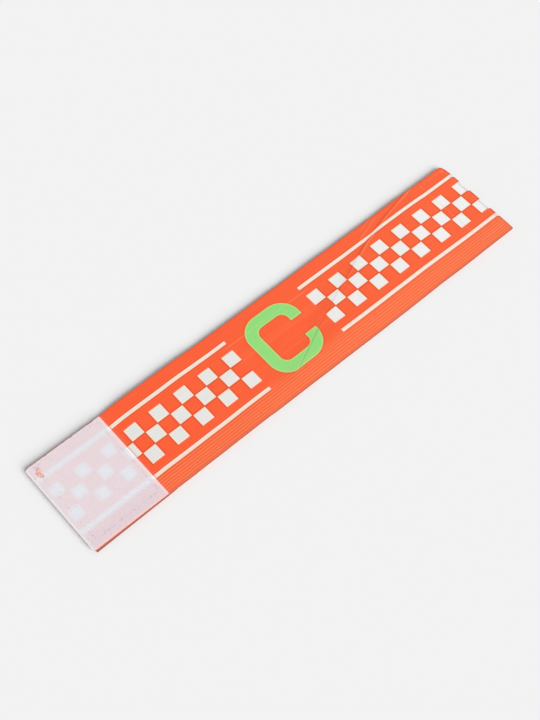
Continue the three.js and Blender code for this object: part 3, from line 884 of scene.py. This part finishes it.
def laid_tape(name, centre, size, corners, grid, facing):
    """A thin tape with rounded corners. Its base lies on the side away from its pile."""
    bpy.ops.object.select_all(action="DESELECT")
    bpy.ops.mesh.primitive_grid_add(x_subdivisions=grid[0], y_subdivisions=grid[1], size=1)
    tape = bpy.context.object
    tape.name = name
    points = points_of(tape) * MM * np.array([size[0], size[1], 1])
    corner = np.where(points[:, :1] < 0, corners["low"], corners["high"])
    past = np.maximum(np.abs(points[:, :2]) - (np.array(size[:2]) / 2 - corner), 0)
    reach = np.linalg.norm(past, axis=1)[:, None]
    over = np.where(reach > corner, (reach - corner) / np.maximum(reach, 1e-6), 0)
    on_edge = np.abs(points[:, :2]) / (np.array(size[:2]) / 2) > 0.999
    points[:, :2] -= np.sign(points[:, :2]) * past * over
    frayed = 0.04 + 0.04 * np.sin(points[:, 0] * 2.9) + 0.04 * np.sin(points[:, 0] * 4.7 + 1)
    points[:, 1] -= np.where(on_edge[:, 1], np.sign(points[:, 1]) * frayed, 0)
    nicks = np.sin(points[:, 0] * 0.37) + np.sin(points[:, 0] * 0.91 + 1) + 0.5 * np.sin(points[:, 0] * 2.3)
    points[:, 1] -= np.where(on_edge[:, 1] & (points[:, 1] > 0) & (nicks > 1), 0.22, 0)
    uneven = 0.05 + 0.05 * np.sin(points[:, 1] * 3.3 + 2)
    points[:, 0] -= np.where(on_edge[:, 0], np.sign(points[:, 0]) * uneven, 0)
    points += centre
    set_points(tape, points)
    thick = tape.modifiers.new("thickness", "SOLIDIFY")
    thick.thickness = TAPE_THICKNESS * MM
    thick.offset = 1 if facing > 0 else -1
    apply_modifiers(tape)
    return tape


hook_base_at = np.array([HOOK_CENTRE[0], HOOK_CENTRE[1] - TAPE_LIP / 2, HOOK_LOW[2]])
hook_tape_size = HOOK_SIZE + (2 * TAPE_LIP, TAPE_LIP, 0)
hook_tape = laid_tape("hook_tape", hook_base_at, hook_tape_size, TAPE_CORNERS, TAPE_GRID, 1)
milky, milky_tree, milky_shader = new_material("milky_nylon", 0.5, 0.3)
tape_colour = sealed_and_highlit_edges(milky_tree, milky_colour(milky_tree, SPECKLE["scale"], SPECKLE["share"]))
milky_tree.links.new(tape_colour, milky_shader.inputs["Base Color"])
hook_tape.data.materials.append(milky)
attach(hook_tape, "root")
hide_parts("hook_panel")

# The hooks: bent nylon monofilament, cut open on one side, in close rows over the tape.
HOOK_PITCH = (1.0, 0.9)
HOOK_BARE_EDGE = 1.0
HOOK_WIRE = 0.085
HOOK_RISE = 0.6
HOOK_FOOT = 0.1
HOOK_STRAIGHT = HOOK_RISE - 0.3
HOOK_BEND = 0.17
HOOK_CURL = (55, 110, 165)


def bent_rod(name, sides, wire, bends):
    """A thin rod with a point ring at each (x, z, lean) of its centre line, in mm. Gives its object."""
    bpy.ops.object.select_all(action="DESELECT")
    bpy.ops.mesh.primitive_cylinder_add(vertices=sides, radius=wire * MM, depth=MM)
    rod = bpy.context.object
    rod.name = name
    bpy.ops.object.mode_set(mode="EDIT")
    bpy.ops.mesh.select_mode(type="EDGE")
    bpy.ops.mesh.select_all(action="DESELECT")
    bpy.ops.object.mode_set(mode="OBJECT")
    for edge in rod.data.edges:
        ends = [rod.data.vertices[v].co.z for v in edge.vertices]
        edge.select = abs(ends[0] - ends[1]) > 0.5 * MM
    bpy.ops.object.mode_set(mode="EDIT")
    bpy.ops.mesh.subdivide(number_cuts=len(bends) - 2)
    bpy.ops.object.mode_set(mode="OBJECT")
    points = points_of(rod)
    ring = np.rint((points[:, 2] + 0.5) * (len(bends) - 1)).astype(int)
    x, z, lean = (np.array([bend[k] for bend in bends])[ring] for k in (0, 1, 2))
    out, down = points[:, 0] * np.cos(lean), points[:, 0] * np.sin(lean)
    set_points(rod, np.stack([x + out, points[:, 1], z - down], axis=1))
    return rod


def many_copies(name, model, places, turns, sizes):
    """One piece made of copies of a model: where each stands, in mm, its turn about Z and its size."""
    points = points_of(model)
    cosine, sine = np.cos(turns), np.sin(turns)
    turned = np.stack(
        [
            np.outer(cosine, points[:, 0]) - np.outer(sine, points[:, 1]),
            np.outer(sine, points[:, 0]) + np.outer(cosine, points[:, 1]),
            np.broadcast_to(points[:, 2], (len(places), len(points))),
        ],
        axis=2,
    )
    placed = turned * np.asarray(sizes).reshape(len(places), -1)[:, None, :] + np.asarray(places)[:, None, :]
    faces = [tuple(face.vertices) for face in model.data.polygons]
    count = len(points)
    mesh = bpy.data.meshes.new(name)
    copied = [tuple(v + k * count for v in face) for k in range(len(places)) for face in faces]
    mesh.from_pydata(placed.reshape(-1, 3) * MM, [], copied)
    mesh.update()
    mesh.polygons.foreach_set("use_smooth", [True] * len(mesh.polygons))
    piece = bpy.data.objects.new(name, mesh)
    bpy.context.collection.objects.link(piece)
    bpy.data.objects.remove(model)
    return piece


def field_of_places(low, high, pitch, margin, height, seed, jitter):
    """Places in staggered rows over a tape, each a little off its row."""
    chance = np.random.default_rng(seed)
    xs = np.arange(low[0] + margin, high[0] - margin, pitch[0])
    ys = np.arange(low[1] + margin, high[1] - margin, pitch[1])
    x, y = np.meshgrid(xs, ys, indexing="ij")
    y = y + (np.arange(len(xs)) % 2)[:, None] * pitch[1] / 2
    places = np.stack([x.ravel(), y.ravel(), np.full(x.size, height)], axis=1)
    places[:, :2] += chance.uniform(-jitter, jitter, (len(places), 2))
    return places[places[:, 1] < high[1] - margin], chance


hook_bends = [(0, -HOOK_FOOT, 0), (0, HOOK_STRAIGHT, 0)]
for degrees in HOOK_CURL:
    turn = math.radians(degrees)
    hook_bends.append((HOOK_BEND * (1 - math.cos(turn)), HOOK_STRAIGHT + HOOK_BEND * math.sin(turn), turn))
hook_model = bent_rod("hook_model", 4, HOOK_WIRE, hook_bends)
hook_places, chance = field_of_places(
    HOOK_LOW, HOOK_HIGH, HOOK_PITCH, HOOK_BARE_EDGE, HOOK_LOW[2] + TAPE_THICKNESS, 7, 0.16
)
hook_count = len(hook_places)
hook_turns = np.where(np.arange(hook_count) % 2, 0, math.pi) + chance.uniform(-0.6, 0.6, hook_count)
hooks = many_copies("hooks", hook_model, hook_places, hook_turns, chance.uniform(0.85, 1.05, hook_count))
hook_nylon, hook_tree, hook_shader = new_material("hook_nylon", 0.35, 0.5)
hook_tree.links.new(milky_colour(hook_tree, 1.4, 0.05), hook_shader.inputs["Base Color"])
hooks.data.materials.append(hook_nylon)
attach(hooks, "root")

# The seam of the hook tape: one row of lockstitch along each side, sunk between the hooks. Only the needle
# holes show, dusky where the webbing is seen through them.
SEAM_PITCH = 3.3
SEAM_LOW = HOOK_LOW[:2] + (5.3, 4.8)
SEAM_HIGH = HOOK_HIGH[:2] - (3.0, 2.4)
STITCH_WIRE = 0.15
NEEDLE_HOLE = 0.3
LONE_HOLE = (HOOK_LOW[0] + 1.6, HOOK_HIGH[1] - 9.1)


def seam_path(low, high, pitch):
    """Stitch places round a rectangle, with the way each stitch runs."""
    places, turns = [], []
    for axis in (0, 1):
        count = max(1, round((high[axis] - low[axis]) / pitch))
        for k in range(count):
            run = low[axis] + (k + 0.5) * (high[axis] - low[axis]) / count
            for fixed in (low[1 - axis], high[1 - axis]):
                places.append((run, fixed) if axis == 0 else (fixed, run))
                turns.append(0 if axis == 0 else math.pi / 2)
    return np.array(places), np.array(turns)


def stitch_model(name, length, dip, wire):
    """One stitch: a short thread whose ends go down into the cloth."""
    half = length / 2
    bends = [(-half, -dip, 0.3), (-half * 0.7, 0, 0.9), (0, wire * 0.3, math.pi / 2)]
    bends += [(half * 0.7, 0, math.pi - 0.9), (half, -dip, math.pi - 0.3)]
    return bent_rod(name, 6, wire, bends)


seam_places, seam_turns = seam_path(SEAM_LOW, SEAM_HIGH, SEAM_PITCH)
tape_top = HOOK_LOW[2] + TAPE_THICKNESS
seam = many_copies(
    "hook_tape_seam",
    stitch_model("stitch", SEAM_PITCH * 0.9, 0.45, STITCH_WIRE),
    np.column_stack([seam_places, np.full(len(seam_places), tape_top)]),
    seam_turns,
    np.ones(len(seam_places)),
)
seam.data.materials.append(milky)
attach(seam, "root")

bpy.ops.object.select_all(action="DESELECT")
bpy.ops.mesh.primitive_uv_sphere_add(segments=8, ring_count=5, radius=NEEDLE_HOLE * MM)
hole_model = bpy.context.object
chance = np.random.default_rng(3)
hole_places = seam_places + SEAM_PITCH / 2 * np.column_stack([np.cos(seam_turns), np.sin(seam_turns)])
hole_places = hole_places + chance.uniform(-0.15, 0.15, hole_places.shape)
open_share = np.select(
    [seam_places[:, 1] < SEAM_LOW[1] + 0.1, seam_places[:, 0] > SEAM_HIGH[0] - 0.1], [0.45, 0.4], 0.12
)
shown = chance.random(len(hole_places)) < open_share
hole_places = np.array([*hole_places[shown], LONE_HOLE])
hole_turns = np.append(seam_turns[shown], 0)
hole_count = len(hole_places)
hole_sizes = np.column_stack([chance.uniform(0.5, 1.1, (hole_count, 2)), np.full(hole_count, 0.6)])
holes = many_copies(
    "needle_holes",
    hole_model,
    np.column_stack([hole_places, np.full(hole_count, tape_top + 0.5)]),
    hole_turns,
    hole_sizes,
)
dusky, dusky_tree, dusky_shader = new_material("dusky_hole", 0.8)
dusky_shader.inputs["Base Color"].default_value = srgb(198, 156, 166)
holes.data.materials.append(dusky)
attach(holes, "root")

# The back-tack: the orange thread was run back and forth at one corner to lock the seam, and its loose end
# was left as a small tangle on top of the hooks.
KNOT_AT = (HOOK_LOW[0] + 1.3, HOOK_HIGH[1] - 3.2)
KNOT_WIRE = 0.4
KNOT_RUNS = [
    [(5.6, 0.1, 0.2), (5.7, -0.9, 0.5), (5.3, -1.9, 0.6), (3.9, -3.1, 0.7)]
    + [(3.2, -4.3, 0.6), (3.7, -5.8, 0.7), (4.7, -7.0, 0.6), (5.3, -7.9, 0.3)],
    [(5.2, -0.7, 0.3), (6.1, -1.8, 0.6), (5.2, -2.8, 0.7), (4.3, -3.8, 0.7)]
    + [(4.4, -5.0, 0.7), (5.1, -6.0, 0.6), (5.5, -7.0, 0.4)],
    [(2.6, -3.0, 0.3), (3.4, -4.0, 0.7), (3.9, -5.2, 0.8), (3.5, -6.2, 0.6), (4.2, -7.6, 0.4)],
    [(4.9, -1.3, 0.3), (4.5, -2.4, 0.6), (3.5, -3.5, 0.6), (2.8, -4.9, 0.5), (3.1, -6.0, 0.3)],
]
curve_data = bpy.data.curves.new("back_tack", "CURVE")
curve_data.dimensions = "3D"
curve_data.bevel_depth = KNOT_WIRE * MM
curve_data.bevel_resolution = 2
curve_data.resolution_u = 6
curve_data.use_fill_caps = True
for run in KNOT_RUNS:
    spline = curve_data.splines.new("NURBS")
    spline.points.add(len(run) - 1)
    for point, (x, y, z) in zip(spline.points, run):
        place = (KNOT_AT[0] + x, KNOT_AT[1] + y, tape_top + z)
        point.co = (*(c * MM for c in place), 1)
    spline.order_u = 3
    spline.use_endpoint_u = True
back_tack = bpy.data.objects.new("back_tack", curve_data)
bpy.context.collection.objects.link(back_tack)
bpy.ops.object.select_all(action="DESELECT")
back_tack.select_set(True)
bpy.context.view_layer.objects.active = back_tack
bpy.ops.object.convert(target="MESH")
back_tack = bpy.context.object
orange_thread, thread_tree, thread_shader = new_material("orange_thread", 0.55)
thread_noise = thread_tree.nodes.new("ShaderNodeTexNoise")
thread_noise.inputs["Scale"].default_value = 700
thread_place = thread_tree.nodes.new("ShaderNodeTexCoord")
thread_tree.links.new(thread_place.outputs["Object"], thread_noise.inputs["Vector"])
thread_share = calc(thread_tree, "MULTIPLY_ADD", thread_noise.outputs["Fac"], 3, -1, clamp=True)
thread_colour = mix(thread_tree, thread_share, srgb(232, 154, 128), srgb(255, 216, 198))
thread_tree.links.new(thread_colour, thread_shader.inputs["Base Color"])
back_tack.data.materials.append(orange_thread)
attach(back_tack, "root")

# The loop tape: a soft brushed tape sewn underneath the loop end, with its pile facing down.
LOOP_BARE_EDGE = 1.0
LOOP_CORNERS = {"low": 2.5, "high": 2.5}
LOOP_PITCH = (1.0, 0.95)
LOOP_WIRE = 0.09
LOOP_RADIUS = 0.42
LOOP_STEPS = 6
LOOP_CLEARANCE = 0.15
LOOP_CENTRE = (LOOP_LOW + LOOP_HIGH) / 2
LOOP_SIZE = LOOP_HIGH - LOOP_LOW

loop_base_at = np.array([LOOP_CENTRE[0], LOOP_CENTRE[1], LOOP_HIGH[2]])
loop_tape = laid_tape("loop_tape", loop_base_at, LOOP_SIZE, LOOP_CORNERS, (22, 56), -1)
brushed, brushed_tree, brushed_shader = new_material("brushed_nylon", 0.95, 0.1)
brushed_noise = brushed_tree.nodes.new("ShaderNodeTexNoise")
brushed_noise.inputs["Scale"].default_value = 900
brushed_place = brushed_tree.nodes.new("ShaderNodeTexCoord")
brushed_tree.links.new(brushed_place.outputs["Object"], brushed_noise.inputs["Vector"])
brushed_tree.links.new(
    mix(brushed_tree, brushed_noise.outputs["Fac"], srgb(222, 220, 214), srgb(246, 245, 241)),
    brushed_shader.inputs["Base Color"],
)
loop_tape.data.materials.append(brushed)
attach(loop_tape, "root")
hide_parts("loop_panel")

loop_depth = LOOP_HIGH[2] - TAPE_THICKNESS - LOOP_LOW[2]
loop_bends = [(-LOOP_RADIUS, HOOK_FOOT, math.pi)]
for step in range(1, LOOP_STEPS):
    turn = math.pi * step / LOOP_STEPS
    drop = (loop_depth - LOOP_WIRE - LOOP_CLEARANCE) * math.sin(turn) ** 0.5
    loop_bends.append((-LOOP_RADIUS * math.cos(turn), -drop, math.pi - turn))
loop_bends.append((LOOP_RADIUS, HOOK_FOOT, 0))
loop_model = bent_rod("loop_model", 4, LOOP_WIRE, loop_bends)
loop_places, chance = field_of_places(
    LOOP_LOW, LOOP_HIGH, LOOP_PITCH, LOOP_BARE_EDGE + 0.4, LOOP_HIGH[2] - TAPE_THICKNESS, 11, 0.25
)
loop_turns = chance.uniform(0, math.pi, len(loop_places))
pile = many_copies("loop_pile", loop_model, loop_places, loop_turns, chance.uniform(0.8, 1, len(loop_places)))
pile.data.materials.append(brushed)
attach(pile, "root")

# The box of stitches that holds the loop tape: one row of lockstitch in light tan thread, which goes through
# the webbing and shows on both sides, with a few loose ends at the back corner of the cut end.
BOX_LOW = (LOOP_LOW[0] + 1.6, LOOP_LOW[1] + 4.3)
BOX_HIGH = (LOOP_HIGH[0] - 1.4, LOOP_HIGH[1] - 1.3)
BOX_PITCH = 2.6
BOX_WIRE = 0.09
TACK_PLACES = [(-0.9, -0.2, 0.3), (-1.3, -0.9, 1.1), (-0.4, -1.2, 2.0), (-1.6, -0.3, 2.6)]
box_places, box_turns = seam_path(np.array(BOX_LOW), np.array(BOX_HIGH), BOX_PITCH)
tacks = np.array(TACK_PLACES)
box_places = np.concatenate([box_places, tacks[:, :2] + BOX_HIGH])
box_turns = np.concatenate([box_turns, tacks[:, 2]])
tan_thread, tan_tree, tan_shader = new_material("tan_thread", 0.6)
tan_shader.inputs["Base Color"].default_value = srgb(245, 168, 130)
for side, level in (("top", LOOP_LIFT + WEB_THICKNESS - 0.03), ("underside", LOOP_LOW[2] + 0.35)):
    stitches = many_copies(
        f"box_stitches_{side}",
        stitch_model("stitch", BOX_PITCH * 0.97, 0.3, BOX_WIRE),
        np.column_stack([box_places, np.full(len(box_places), level)]),
        box_turns,
        np.ones(len(box_places)) if side == "top" else np.tile([1, 1, -1], (len(box_places), 1)),
    )
    stitches.data.materials.append(tan_thread)
    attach(stitches, "root")
